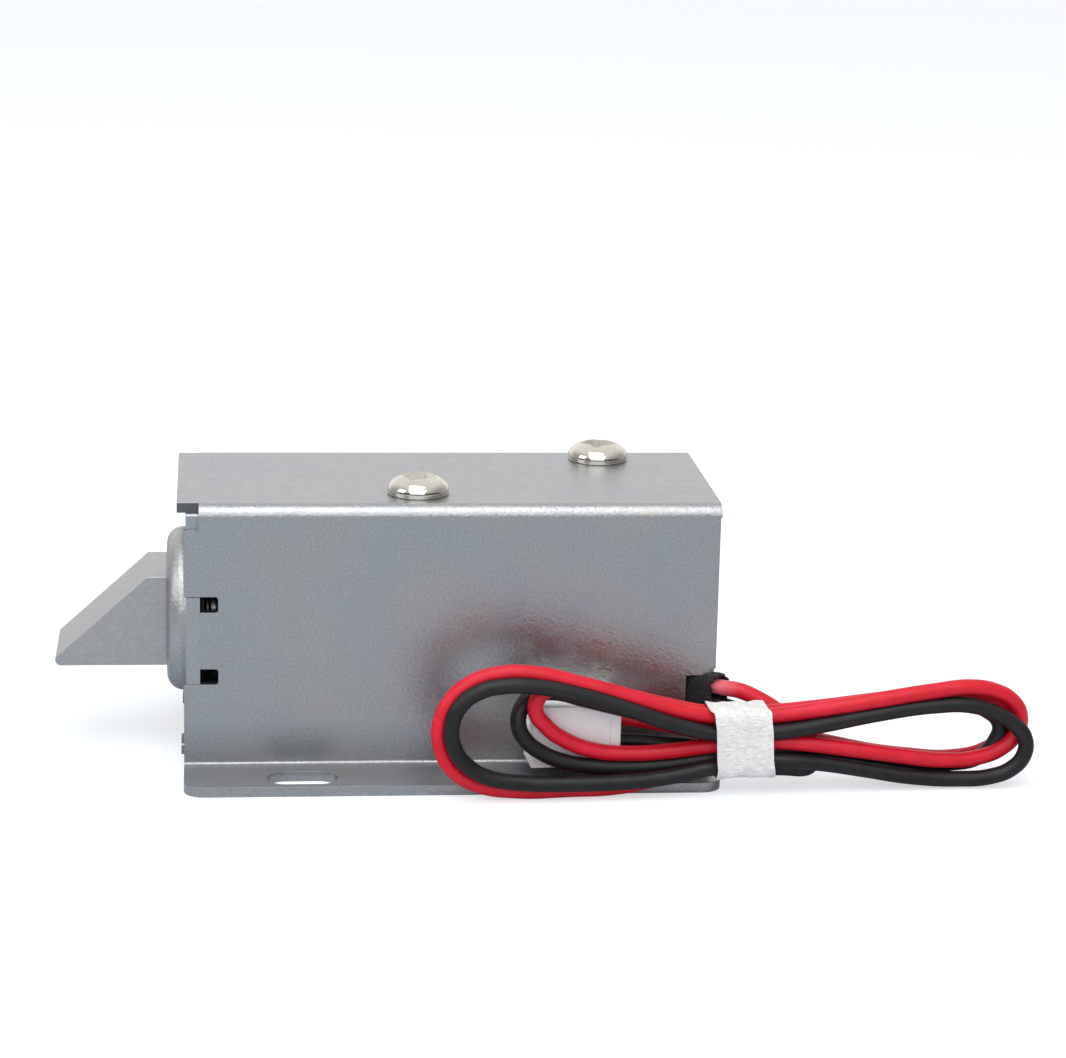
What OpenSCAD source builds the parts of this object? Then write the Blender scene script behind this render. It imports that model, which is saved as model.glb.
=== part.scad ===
// Solenoid lock: a sheet steel case on four slotted holes, with a sprung latch bolt
// that a coil pulls in. Millimetres, bolt towards -X, underside of the flanges at z = 0,
// origin between the four mounting slots.

/* [Case] */
// Length of the case along its top
case_l = 54; // [48:0.5:70]
// Depth of the case over its two walls
case_d = 25; // [24.5:0.5:34]
// Height of the case
case_h = 27.5; // [26.5:0.5:34]
// Thickness of the case's sheet
sheet_t = 1; // [0.8:0.1:1.2]
// Inner radius of the case's bends
bend_in = 0.3; // [0.2:0.1:0.6]
// How far each mounting flange reaches out from its wall
flange_w = 7.4; // [7:0.2:12]
// Radius of the flanges' outer corners
flange_corner_r = 2; // [1:0.25:2.5]
// How far the walls stand back from the top at the nose end
wall_back = 0.65; // [0.4:0.05:0.8]

/* [Mounting slots] */
// Width of a mounting slot
slot_w = 3.8; // [3.2:0.1:4.2]
// Length of a mounting slot
slot_l = 7; // [6:0.25:10]
// From the case's end to a slot's centre
slot_in = 12.3; // [10:0.5:14]
// From the wall's face to a slot's centre
slot_out = 4.6; // [4:0.1:5]

/* [Nose] */
// Thickness of the nose plate
nose_t = 1.35; // [1:0.05:1.5]
// Radius of the drawn boss
boss_r = 8.4; // [8:0.1:9]
// How far the boss stands out of the nose plate
boss_out = 2.03; // [1.9:0.01:2.6]
// Rounding of the boss's rim
boss_round = 1.7; // [0.8:0.1:2]
// Height of the window that hooks the nose plate's tab
hook_h = 9; // [7:0.5:11]
// Depth of the window beside the tab
hook_deep = 3.4; // [2.8:0.1:4]

/* [Latch bolt] */
// Height of the bolt
bolt_h = 9.2; // [7:0.2:9.4]
// Depth of the bolt
bolt_d = 10.3; // [7:0.1:10.4]
// How far the bolt stands out of the boss
bolt_out = 11.2; // [10.8:0.1:13]
// Flat length of the bolt's top before its slope
bolt_flat = 2; // [1:0.1:3]
// Radius of the bolt's tip
tip_r = 0.6; // [0.3:0.1:1]
// Travel of the bolt
travel = 10; // [8:0.5:10]

/* [Solenoid] */
// From the case's nose end to the solenoid's frame
frame_in = 18; // [17.5:0.5:20]
// From the solenoid's frame to the case's rear end
frame_rear = 4; // [4:0.25:6]
// Room between the frame's strip and each wall
frame_side = 1; // [0.8:0.1:1.1]
// Thickness of the frame's strip
frame_t = 2; // [1.5:0.1:2.2]
// Radius of the plunger as a share of the winding's
plunger_share = 0.465; // [0.42:0.005:0.475]
// Wall of the brass sleeve round the plunger
sleeve_wall = 0.45; // [0.35:0.05:0.5]
// How far the winding stays inside the edges of the bobbin's flanges
coil_in = 1; // [0.8:0.1:2]
// Radius of the spring's wire
spring_wire_r = 0.35; // [0.25:0.05:0.35]
// Turns of the spring
spring_turns = 6; // [4:1:6]

/* [Screws] */
// Radius of a cover screw's thread
screw_r = 1.5; // [1.25:0.25:1.5]
// Radius of a cover screw's head
screw_head_r = 3.15; // [2.8:0.05:3.3]
// Height of a cover screw's head
screw_head_h = 2; // [1.6:0.1:2.4]

/* [Leads] */
// Diameter of a lead over its insulation
lead_d = 1.6; // [1.4:0.1:1.6]
// Length of the connector's housing
plug_l = 8.9; // [7.5:0.1:10]
// Depth of the connector's housing
plug_d = 5.4; // [5:0.1:5.6]
// Height of the connector's housing
plug_h = 6.7; // [6:0.1:7.5]
// Distance between the connector's contacts
plug_pitch = 2.5; // [2.5:0.1:3]

/* [Hidden] */
$fn = 48;

// A cut runs past the surface it opens by this much
past = 1;
// Room between pieces that only lie against each other
gap = 0.05;
// Room between pieces that slide
slide_gap = 0.05;

zinc = [0.62, 0.65, 0.68];
steel = [0.55, 0.56, 0.58];
cast = [0.66, 0.67, 0.67];
brass = [0.8, 0.66, 0.35];
copper = [0.72, 0.38, 0.2];
nylon = [0.93, 0.93, 0.9];
nickel = [0.82, 0.8, 0.74];

half_l = case_l / 2;
half_d = case_d / 2;
inner_d = half_d - sheet_t;
bend_out = bend_in + sheet_t;
nose_x = -half_l;
axis_z = case_h / 2;
under_top = case_h - sheet_t;
rear_back = 0.2;
wall_nose_x = nose_x + wall_back;
wall_rear_x = half_l - rear_back;

// Relief at the top corners of the walls, beside the bend
relief_l = 1.5;
relief_h = 2.55;
relief_z = case_h - relief_h;

// The nose plate stands this far behind the walls' nose edge
nose_recess = 0.25;
nose_face_x = wall_nose_x + nose_recess;
nose_back_x = nose_face_x + nose_t;
hook_mouth = nose_recess + nose_t;
hook_finger = 1.6;
hook_corner_r = 0.3;
boss_wall = 1.2;
boss_face_x = nose_face_x - boss_out;
cavity_r = boss_r - boss_wall;
cavity_x = boss_face_x + boss_wall;
bolt_gap = 0.15;
bolt_corner_r = 0.3;

// Lower plate, folded up at the rear
base_t = 1.2;
base_z = 1.3;
base_bend_r = 0.5;
base_tab_w = 3.6;
base_tab_in = 2.9;
base_tab_y = inner_d - base_tab_in;
base_tab_out = 0.55;
rear_proud = 0.25;
rear_face_x = wall_rear_x + rear_proud;
lead_cut_in = 3.7;
lead_cut_y = inner_d - lead_cut_in;
lead_cut_z = 10.3;

// Corner of the front wall that is cut away for the leads
exit_l = 2.9;
exit_top_z = 9.9;
exit_low_z = 5;
exit_corner_r = 0.9;

// Solenoid
frame_x = nose_x + frame_in;
frame_end_x = half_l - frame_rear;
frame_l = frame_end_x - frame_x;
frame_w = 2 * (inner_d - frame_side);
frame_bend_in = 0.4;
frame_lift = 2.65;
frame_low_z = base_z + base_t + frame_lift;
frame_under_z = under_top - gap - frame_t;
bobbin_side_gap = 0.9;
bobbin_top_gap = 1.1;
bobbin_half_y = frame_w / 2 - bobbin_side_gap;
bobbin_half_z = frame_under_z - axis_z - bobbin_top_gap;
coil_r = min(bobbin_half_y, bobbin_half_z) - coil_in;
plunger_r = plunger_share * coil_r;
sleeve_in_r = plunger_r + slide_gap;
sleeve_out_r = sleeve_in_r + sleeve_wall;
bobbin_bore_r = sleeve_out_r + gap;
bobbin_wall = 0.75;
bobbin_tube_r = bobbin_bore_r + bobbin_wall;
bobbin_flange_t = 1.2;
bobbin_corner_r = 2;
coil_x0 = frame_x + frame_t;
coil_x1 = frame_end_x - frame_t;
tape_t = 0.18;
pole_l = 3.4;
pole_step = 1;
pole_head_over = 0.6;
pole_neck_r = plunger_r - pole_step;
pole_head_r = pole_neck_r + pole_head_over;
pole_head_h = 0.6;
pole_x = coil_x1 - pole_l;
shim_t = 0.3;
stop_gap = 0.1;

// Terminals under the frame's rear leg
pin_r = 0.4;
pin_drop = 0.8;
pin_z = frame_low_z - pin_drop;
pin_out = 3.1;
pin_tip_x = coil_x1 + pin_out;
pin_pitch = 3;
pin_in_y = 2.9;
black_pin_y = pin_in_y - inner_d;
red_pin_y = black_pin_y + pin_pitch;
foot_drop = 1;
foot_side = 1.4;

// Moving pieces, drawn with the bolt out
shoulder_t = 2.2;
shoulder_side = 0.25;
shoulder_stop = 0.03;
shoulder_r = cavity_r - shoulder_side;
shoulder_x = cavity_x + shoulder_stop;
shoulder_back_x = shoulder_x + shoulder_t;
tongue_t = 3;
tongue_h = 6;
tongue_l = 5.7;
fork_gap = 0.1;
pin_in = 3.5;
cross_pin_r = 1;
cross_pin_gap = 0.02;
plunger_back = 1;
plunger_x0 = shoulder_back_x + plunger_back;
plunger_x1 = pole_x - shim_t - stop_gap - travel;
spring_room = 0.55;
spring_r = plunger_r + spring_wire_r + spring_room;
spring_steps = 12;

// Screws
screw_front_side = 4.5;
screw_back_side = 3.2;
screw_front_in = 6;
screw_back_in = 6.1;
screw_front_y = screw_front_side - inner_d;
screw_back_y = inner_d - screw_back_side;
screw_front_x = frame_x + screw_front_in;
screw_back_x = frame_end_x - screw_back_in;
screw_front_turn = 20;
screw_back_turn = 35;
screw_gap = 0.1;
screw_thread_gap = 0.02;
screw_rim_h = 0.4;
screw_below = 0.4;
drive_l = 3.7;
drive_w = 0.72;
drive_deep = 1.1;
drive_mouth_r = 1.15;
drive_foot_r = 0.6;

// Leads: points from the cut corner of the front wall to the hank, and from there to the connector
lead_r = lead_d / 2;
lead_sides = 8;
red_points = [[-2.7, 5.5, 7], [-2.6, 3.7, 8.5], [-2.2, 2, 8.85], [0.5, -0.7, 8.85], [2.4, -1.7, 8.75],
    [4.4, -2.3, 7.95], [6.2, -2.8, 6.9], [8, -3.6, 5.7], [9.5, -5.1, 4.4]];
black_points = [[-2.5, 2.9, 6], [-1.8, 1.6, 7.05], [0.5, -0.7, 7.05], [2.7, -2, 6.6], [4.8, -2.6, 5.4],
    [6.8, -3.3, 4.2], [8.4, -4.2, 3.1], [9.1, -5.1, 2.5]];
red_tail = [[11.38, 5.24, 6.7], [13.07, 5.04, 6.6], [15.53, 4.3, 6.35], [18.44, 3.2, 5.95],
    [21.18, 2.2, 5.65]];
black_tail = [[11.38, 5.24, 4.2], [13.07, 5.04, 4.2], [15.53, 4.3, 4.2], [18.44, 3.2, 4.1],
    [21.18, 2.2, 4.0]];
red_route = concat([[pin_tip_x, red_pin_y, pin_z]], from_corner(red_points));
black_route = concat([[pin_tip_x, black_pin_y, pin_z]], from_corner(black_points));

// Sleeve round both leads, at half a right angle through the cut corner
cloth_from = [-2.5, 2.3];
cloth_l = 4.2;
cloth_w = 2.2;
cloth_h = 3.8;
cloth_z = 7.95;
cloth_bore_gap = 0.05;
cloth_round = 0.9;
cloth_turn = -45;
red_exit_z = 8.85;
black_exit_z = 7.05;

// The tied hank stands on its edge in front of the case, a little out of parallel
hank_turn = 3.36;
hank_in = 22.05;
hank_out = 9.3;
hank_at = [wall_rear_x - hank_in, -half_d - hank_out];
hank_layer = lead_d;
hank_left_x = 0;
hank_left_r = 6.85;
hank_left_z = 6.95;
hank_right_x = 47.7;
hank_right_r = 5.7;
hank_right_z = 5.8;
waist_x0 = 20.7;
waist_x1 = 26.6;
waist_z0 = 2.3;
waist_z1 = 8.9;
inner_left_x = 5.1;
inner_left_r = 4.2;
inner_left_z = 6.1;
inner_right_x = 45.8;
inner_right_r = 4.6;
inner_right_z = 5.8;

tie_t = 0.25;
tie_in_x0 = 20.9;
tie_w = 5.7;

// Connector behind the loops
plug_x = 2.85;
plug_back = 1.75;
plug_z = 2.1;
plug_rib_l = 1;
plug_rib_t = 0.25;
plug_bore_r = 0.95;
plug_chamfer = 0.5;
plug_window_l = 1.6;
plug_window_w = 1.4;
contact_t = 1.3;
contact_l = 6.6;
plug_mouth = 0.8;

function unit(v) = v / norm(v);

// Points that are given from the cut corner of the front wall
function from_corner(points) = [for (p = points) p + [wall_rear_x, -half_d, 0]];

// Direction of a route at one of its points
function heading(route, i) =
    unit(route[min(i + 1, len(route) - 1)] - route[max(i - 1, 0)]);

// Corners of the ring round one point of a route
function ring(route, i, r, sides, up) =
    let (t = heading(route, i), u = unit(cross(t, up)), v = cross(t, u))
    [for (k = [0 : sides - 1]) route[i] + r * (cos(360 * k / sides) * u + sin(360 * k / sides) * v)];

// Round wire or lead swept along a route
module swept(route, r, sides, up) {
    count = len(route);
    corners = [for (i = [0 : count - 1]) each ring(route, i, r, sides, up)];
    skin = [for (i = [0 : count - 2], k = [0 : sides - 1])
        let (a = i * sides + k, b = i * sides + (k + 1) % sides)
        each [[a, b, b + sides], [a, b + sides, a + sides]]];
    first = [for (k = [sides - 1 : -1 : 0]) k];
    last = [for (k = [0 : sides - 1]) (count - 1) * sides + k];
    polyhedron(points = corners, faces = concat(skin, [first, last]), convexity = 10);
}

// Square with rounded corners, centred
module rounded(w, h, r) {
    square([w - 2 * r, h], center = true);
    square([w, h - 2 * r], center = true);
    for (x = [-1, 1], y = [-1, 1])
        translate([x * (w / 2 - r), y * (h / 2 - r)])
            circle(r);
}

// Square corner at the origin, towards +X and +Y, less the round that fills it
module corner(r) {
    difference() {
        square(r);
        translate([r, r])
            circle(r);
    }
}

// Stands a drawing of width and height up across the case and gives it a length along X
module across(x, l) {
    translate([x, 0, 0])
        rotate([90, 0, 90])
            linear_extrude(l)
                children();
}

// Stands a drawing of length and height up along the case, centred on its depth
module along(depth) {
    translate([0, depth / 2, 0])
        rotate([90, 0, 0])
            linear_extrude(depth)
                children();
}

// Round bar or tool along X on the solenoid's axis
module bar(x, l, r) {
    translate([x, 0, axis_z])
        rotate([0, 90, 0])
            cylinder(h = l, r = r);
}

// Cross-section of the folded cover: top, two walls, two flanges
module hat() {
    difference() {
        union() {
            translate([0, case_h / 2])
                square([case_d, case_h], center = true);
            translate([0, sheet_t / 2])
                square([case_d + 2 * flange_w, sheet_t], center = true);
            for (s = [0, 1])
                mirror([s, 0])
                    translate([half_d, sheet_t])
                        corner(bend_in);
        }
        for (s = [0, 1])
            mirror([s, 0]) {
                translate([-half_d, case_h])
                    mirror([0, 1])
                        corner(bend_out);
                difference() {
                    translate([-inner_d, -past])
                        square([inner_d + gap, under_top + past]);
                    translate([-inner_d, under_top])
                        mirror([0, 1])
                            corner(bend_in);
                }
                translate([inner_d, 0])
                    corner(bend_out);
            }
    }
}

module slots() {
    for (x = [-1, 1], y = [-1, 1])
        translate([x * (half_l - slot_in), y * (half_d + slot_out), -past])
            linear_extrude(sheet_t + 2 * past) {
                square([slot_l - slot_w, slot_w], center = true);
                for (e = [-1, 1])
                    translate([e * (slot_l - slot_w) / 2, 0])
                        circle(slot_w / 2);
            }
}

// Window in a wall that hooks the nose plate's tab, with a finger above and below the tongue
module hook_window() {
    low = axis_z - hook_h / 2;
    translate([wall_nose_x - past, low])
        square([hook_mouth + past, hook_h]);
    for (z = [low + hook_finger / 2, low + hook_h - hook_finger / 2])
        translate([wall_nose_x + hook_deep / 2 + hook_mouth / 4, z])
            rounded(hook_deep - hook_mouth / 2, hook_finger, hook_corner_r);
}

module case_cover() {
    reach = half_d + flange_w + past;
    color(zinc)
        difference() {
            across(nose_x, case_l)
                hat();
            // Walls and flanges end short of the top
            translate([nose_x - past, -reach, -past])
                cube([past + wall_back, 2 * reach, under_top - bend_in + past]);
            translate([wall_rear_x, -reach, -past])
                cube([past + rear_back, 2 * reach, under_top - bend_in + past]);
            // Clearance holes of the cover screws
            at_screws()
                translate([0, 0, under_top - past])
                    cylinder(h = sheet_t + 2 * past, r = screw_r + screw_gap);
            // Relief beside each top bend
            for (s = [0, 1])
                mirror([0, s, 0])
                    translate([nose_x - past, -half_d - past, relief_z])
                        cube([past + wall_back + relief_l, bend_out + past, relief_h + past]);
            along(case_d + 2 * past)
                hook_window();
            // Corner of the front wall for the leads
            translate([wall_rear_x - exit_l, -half_d - past, exit_low_z])
                cube([exit_l + past, sheet_t + 2 * past, exit_top_z - exit_low_z]);
            translate([wall_rear_x, -half_d + sheet_t + past, exit_top_z])
                rotate([90, 0, 0])
                    linear_extrude(sheet_t + 2 * past)
                        mirror([1, 0])
                            corner(exit_corner_r);
            slots();
            // Outer corners of the flanges
            for (s = [0, 1])
                mirror([0, s, 0]) {
                    translate([wall_nose_x, -half_d - flange_w, -past])
                        linear_extrude(sheet_t + 2 * past)
                            corner(flange_corner_r);
                    translate([wall_rear_x, -half_d - flange_w, -past])
                        linear_extrude(sheet_t + 2 * past)
                            mirror([1, 0])
                                corner(flange_corner_r);
                }
        }
}

// Half outline of the drawn boss: radius across, height up from the plate's face
module boss_half() {
    difference() {
        union() {
            square([boss_r, boss_out - boss_round]);
            square([boss_r - boss_round, boss_out]);
            intersection() {
                translate([boss_r - boss_round, boss_out - boss_round])
                    circle(boss_round);
                square([boss_r, boss_out]);
            }
        }
        translate([-past, -past])
            square([cavity_r + past, boss_out - boss_wall + past]);
    }
}

module nose_plate() {
    low = gap;
    high = under_top - gap;
    color(zinc)
        difference() {
            union() {
                difference() {
                    across(nose_face_x, nose_t) {
                        translate([0, (low + high) / 2])
                            rounded(2 * (inner_d - gap), high - low, bend_in + gap);
                        translate([0, axis_z])
                            square([case_d, hook_h - 2 * gap], center = true);
                    }
                    bar(nose_face_x - past, nose_t + 2 * past, cavity_r);
                }
                translate([nose_face_x, 0, axis_z])
                    rotate([0, -90, 0])
                        rotate_extrude($fn = 96)
                            boss_half();
            }
            across(boss_face_x - past, boss_wall + 2 * past)
                translate([0, axis_z])
                    rounded(bolt_d + 2 * bolt_gap, bolt_h + 2 * bolt_gap, bolt_corner_r);
            for (s = [-1, 1])
                across(nose_face_x - past, nose_t + 2 * past)
                    translate([s * base_tab_y, base_z + base_t / 2])
                        square([base_tab_w + 2 * gap, base_t + 2 * gap], center = true);
        }
}

module base_plate() {
    rear_in_x = rear_face_x - base_t;
    high = under_top - gap;
    color(zinc)
        difference() {
            union() {
                along(2 * (inner_d - gap))
                    difference() {
                        translate([nose_back_x + gap, base_z])
                            square([rear_face_x - nose_back_x - gap, high - base_z]);
                        translate([nose_back_x - past, base_z + base_t])
                            square([rear_in_x - nose_back_x + past, high]);
                        translate([rear_face_x, base_z])
                            mirror([1, 0])
                                corner(base_bend_r + base_t);
                    }
                // Fillet inside the fold
                translate([rear_in_x, 0, base_z + base_t])
                    along(2 * (inner_d - gap))
                        mirror([1, 0])
                            corner(base_bend_r);
                for (s = [-1, 1])
                    across(nose_face_x - base_tab_out, nose_t + base_tab_out + 2 * gap)
                        translate([s * base_tab_y, base_z + base_t / 2])
                            rounded(base_tab_w, base_t, base_t / 4);
            }
            // Room for the leads at the front corner
            translate([rear_in_x - base_bend_r - past, -half_d, base_z + base_t + base_bend_r])
                cube([base_t + base_bend_r + 2 * past, half_d - lead_cut_y,
                    lead_cut_z - base_z - base_t - base_bend_r]);
        }
}

module at_screws() {
    translate([screw_front_x, screw_front_y, 0])
        rotate([0, 0, screw_front_turn])
            children();
    translate([screw_back_x, screw_back_y, 0])
        rotate([0, 0, screw_back_turn])
            children();
}

// Half outline of a pan head: a rim with a dome over it
module head_half() {
    dome_h = screw_head_h - screw_rim_h;
    dome_r = (screw_head_r * screw_head_r + dome_h * dome_h) / (2 * dome_h);
    square([screw_head_r, screw_rim_h]);
    intersection() {
        translate([0, screw_head_h - dome_r])
            circle(dome_r);
        square([screw_head_r, screw_head_h]);
    }
}

module cover_screws() {
    color(nickel)
        at_screws()
            difference() {
                union() {
                    translate([0, 0, case_h])
                        rotate_extrude()
                            head_half();
                    translate([0, 0, under_top - frame_t - screw_below])
                        cylinder(h = sheet_t + frame_t + screw_below + screw_rim_h, r = screw_r);
                }
                // Cross recess, wider towards its mouth
                translate([0, 0, case_h + screw_head_h - drive_deep]) {
                    linear_extrude(drive_deep + past) {
                        square([drive_l, drive_w], center = true);
                        square([drive_w, drive_l], center = true);
                    }
                    cylinder(h = drive_deep, r1 = drive_foot_r, r2 = drive_mouth_r);
                }
            }
}

module solenoid_frame() {
    color(steel)
        difference() {
            along(frame_w)
                difference() {
                    translate([frame_x, frame_low_z])
                        square([frame_l, frame_under_z + frame_t - frame_low_z]);
                    difference() {
                        translate([frame_x + frame_t, frame_low_z - past])
                            square([frame_l - 2 * frame_t, frame_under_z - frame_low_z + past]);
                        for (s = [0, 1])
                            translate([frame_x + frame_l / 2, frame_under_z])
                                mirror([s, 0])
                                    translate([-frame_l / 2 + frame_t, 0])
                                        mirror([0, 1])
                                            corner(frame_bend_in);
                    }
                    for (s = [0, 1])
                        translate([frame_x + frame_l / 2, frame_under_z + frame_t])
                            mirror([s, 0])
                                translate([-frame_l / 2, 0])
                                    mirror([0, 1])
                                        corner(frame_bend_in + frame_t);
                }
            bar(frame_x - past, frame_t + 2 * past, sleeve_out_r + gap);
            bar(frame_end_x - frame_t - past, frame_t + 2 * past, pole_neck_r + gap);
            at_screws()
                translate([0, 0, under_top - frame_t - past])
                    cylinder(h = frame_t + 2 * past, r = screw_r + screw_thread_gap);
        }
}

module bobbin_flange(x) {
    across(x, bobbin_flange_t)
        translate([0, axis_z])
            rounded(2 * bobbin_half_y, 2 * bobbin_half_z, bobbin_corner_r);
}

module coil_bobbin() {
    foot_y0 = black_pin_y - foot_side;
    foot_y1 = red_pin_y + foot_side;
    color(nylon)
        difference() {
            union() {
                bobbin_flange(coil_x0 + gap);
                bobbin_flange(coil_x1 - gap - bobbin_flange_t);
                bar(coil_x0 + gap, coil_x1 - coil_x0 - 2 * gap, bobbin_tube_r);
                translate([coil_x1 - gap - bobbin_flange_t, foot_y0, pin_z - foot_drop])
                    cube([bobbin_flange_t, foot_y1 - foot_y0, axis_z - pin_z]);
            }
            bar(coil_x0 - past, coil_x1 - coil_x0 + 2 * past, bobbin_bore_r);
            for (y = [red_pin_y, black_pin_y])
                translate([coil_x1 - bobbin_flange_t - past, y, pin_z])
                    rotate([0, 90, 0])
                        cylinder(h = bobbin_flange_t + 2 * past, r = pin_r + screw_thread_gap);
        }
}

module tube(x0, x1, r_out, r_in) {
    difference() {
        bar(x0, x1 - x0, r_out);
        bar(x0 - past, x1 - x0 + 2 * past, r_in);
    }
}

module coil_winding() {
    color(copper)
        tube(coil_x0 + bobbin_flange_t + 2 * gap, coil_x1 - bobbin_flange_t - 2 * gap, coil_r, bobbin_tube_r + gap);
}

module winding_tape() {
    color([0.86, 0.72, 0.2])
        tube(coil_x0 + bobbin_flange_t + 2 * gap, coil_x1 - bobbin_flange_t - 2 * gap,
            coil_r + gap + tape_t, coil_r + gap);
}

module plunger_sleeve() {
    color(brass)
        tube(frame_x, coil_x1, sleeve_out_r, sleeve_in_r);
}

module pole_piece() {
    color(steel)
        union() {
            bar(pole_x, pole_l, plunger_r);
            bar(pole_x, pole_l + frame_t + pole_head_h / 2, pole_neck_r);
            bar(coil_x1 + frame_t, pole_head_h, pole_head_r);
        }
}

module pole_shim() {
    color(brass)
        bar(pole_x - shim_t, shim_t, plunger_r);
}

module coil_terminals() {
    color(nickel)
        for (y = [red_pin_y, black_pin_y])
            translate([coil_x1 - bobbin_flange_t, y, pin_z])
                rotate([0, 90, 0])
                    cylinder(h = bobbin_flange_t + pin_out, r = pin_r);
}

// Side view of the bolt's nose, from the shoulder to the rounded tip
module bolt_side() {
    low = axis_z - bolt_h / 2;
    high = axis_z + bolt_h / 2;
    tip_x = boss_face_x - bolt_out;
    flat_x = boss_face_x - bolt_flat;
    // The slope touches the tip's circle from above
    centre = [tip_x + tip_r, low + tip_r];
    reach = [flat_x - centre[0], high - centre[1]];
    slope = atan2(reach[1], reach[0]) + asin(tip_r / norm(reach));
    touch = centre + tip_r * [-sin(slope), cos(slope)];
    translate(centre)
        circle(tip_r);
    polygon([[shoulder_x + gap, low], [centre[0], low], centre, touch, [flat_x, high], [shoulder_x + gap, high]]);
}

module latch_bolt() {
    color(cast)
        difference() {
            union() {
                along(bolt_d)
                    bolt_side();
                bar(shoulder_x, shoulder_t, shoulder_r);
                translate([shoulder_back_x - gap, -tongue_t / 2, axis_z - tongue_h / 2])
                    cube([tongue_l + gap, tongue_t, tongue_h]);
            }
            translate([shoulder_back_x + pin_in, tongue_t / 2 + past, axis_z])
                rotate([90, 0, 0])
                    cylinder(h = tongue_t + 2 * past, r = cross_pin_r + cross_pin_gap);
        }
}

module bolt_pin() {
    reach = sqrt(plunger_r * plunger_r - cross_pin_r * cross_pin_r);
    color(nickel)
        translate([shoulder_back_x + pin_in, reach, axis_z])
            rotate([90, 0, 0])
                cylinder(h = 2 * reach, r = cross_pin_r);
}

module plunger() {
    fork_l = shoulder_back_x + tongue_l + fork_gap - plunger_x0;
    color(steel)
        difference() {
            bar(plunger_x0, plunger_x1 - plunger_x0, plunger_r);
            translate([plunger_x0 - past, -tongue_t / 2 - fork_gap, axis_z - plunger_r - past])
                cube([fork_l + past, tongue_t + 2 * fork_gap, 2 * (plunger_r + past)]);
            translate([shoulder_back_x + pin_in, plunger_r + past, axis_z])
                rotate([90, 0, 0])
                    cylinder(h = 2 * (plunger_r + past), r = cross_pin_r + cross_pin_gap);
        }
}

module return_spring() {
    x0 = shoulder_back_x + spring_wire_r + gap;
    x1 = frame_x - spring_wire_r - gap;
    count = spring_turns * spring_steps;
    route = [for (i = [0 : count])
        [x0 + (x1 - x0) * i / count,
         spring_r * cos(360 * i / spring_steps),
         axis_z + spring_r * sin(360 * i / spring_steps)]];
    color(steel)
        swept(route, spring_wire_r, 6, [1, 0, 0]);
}

// Black cloth sleeve with one bore for each lead
module wire_sleeve() {
    color([0.08, 0.08, 0.09])
        translate([wall_rear_x + cloth_from[0], -half_d + cloth_from[1], 0])
            rotate([0, 0, cloth_turn])
                difference() {
                    across(0, cloth_l)
                        translate([0, cloth_z])
                            rounded(cloth_w, cloth_h, cloth_round);
                    for (z = [red_exit_z, black_exit_z])
                        translate([-past, 0, z])
                            rotate([0, 90, 0])
                                cylinder(h = cloth_l + 2 * past, r = lead_r + cloth_bore_gap);
                }
}

module red_lead() {
    color([0.8, 0.08, 0.15]) {
        swept(red_route, lead_r, lead_sides, [0, 0, 1]);
        in_hank()
            swept(red_tail, lead_r, lead_sides, [0, 0, 1]);
    }
}

module black_lead() {
    color([0.1, 0.1, 0.11]) {
        swept(black_route, lead_r, lead_sides, [0, 0, 1]);
        in_hank()
            swept(black_tail, lead_r, lead_sides, [0, 0, 1]);
    }
}

// Places what follows in the hank's own frame: X along it, Y towards the case
module in_hank() {
    translate([hank_at[0], hank_at[1], 0])
        rotate([0, 0, hank_turn])
            children();
}

// One layer of the hank, from its front at y0 to its back at y1
module hank_slab(y0, y1) {
    translate([0, y1, 0])
        rotate([90, 0, 0])
            linear_extrude(y1 - y0)
                children();
}

module lead_hank() {
    front = -hank_layer / 2;
    middle = hank_layer / 2;
    back = middle + hank_layer;
    color([0.3, 0.08, 0.1])
        in_hank() {
            hank_slab(front, middle) {
                translate([hank_left_x, hank_left_z])
                    circle(hank_left_r);
                translate([hank_right_x, hank_right_z])
                    circle(hank_right_r);
                polygon([[hank_left_x, hank_left_z + hank_left_r], [waist_x0, waist_z1], [waist_x1, waist_z1],
                    [hank_right_x, hank_right_z + hank_right_r], [hank_right_x, hank_right_z - hank_right_r],
                    [waist_x1, waist_z0], [waist_x0, waist_z0], [waist_x0 / 2, hank_left_z - hank_left_r],
                    [hank_left_x, hank_left_z - hank_left_r]]);
            }
            hank_slab(middle - gap, back) {
                translate([inner_left_x, inner_left_z])
                    circle(inner_left_r);
                translate([inner_right_x, inner_right_z])
                    circle(inner_right_r);
                polygon([[inner_left_x, inner_left_z + inner_left_r], [waist_x0, waist_z1 - lead_d],
                    [waist_x0, waist_z1], [waist_x1, waist_z1],
                    [inner_right_x, inner_right_z + inner_right_r], [inner_right_x, inner_right_z - inner_right_r],
                    [waist_x1, waist_z0], [waist_x0, waist_z0],
                    [inner_left_x, inner_left_z - inner_left_r]]);
            }
        }
}

module lead_tie() {
    front = -hank_layer / 2;
    back = front + 2 * hank_layer;
    color([0.9, 0.89, 0.86])
        in_hank()
            difference() {
                translate([tie_in_x0, front - tie_t, waist_z0 - tie_t])
                    cube([tie_w, back - front + 2 * tie_t, waist_z1 - waist_z0 + 2 * tie_t]);
                translate([tie_in_x0 - past, front, waist_z0])
                    cube([tie_w + 2 * past, back - front, waist_z1 - waist_z0]);
            }
}

// Places what follows at the middle of the connector's wire end, X towards the wires
module in_plug() {
    in_hank()
        translate([plug_x + plug_l, hank_layer / 2 + plug_back + plug_d / 2, plug_z + plug_h / 2])
            children();
}

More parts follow.
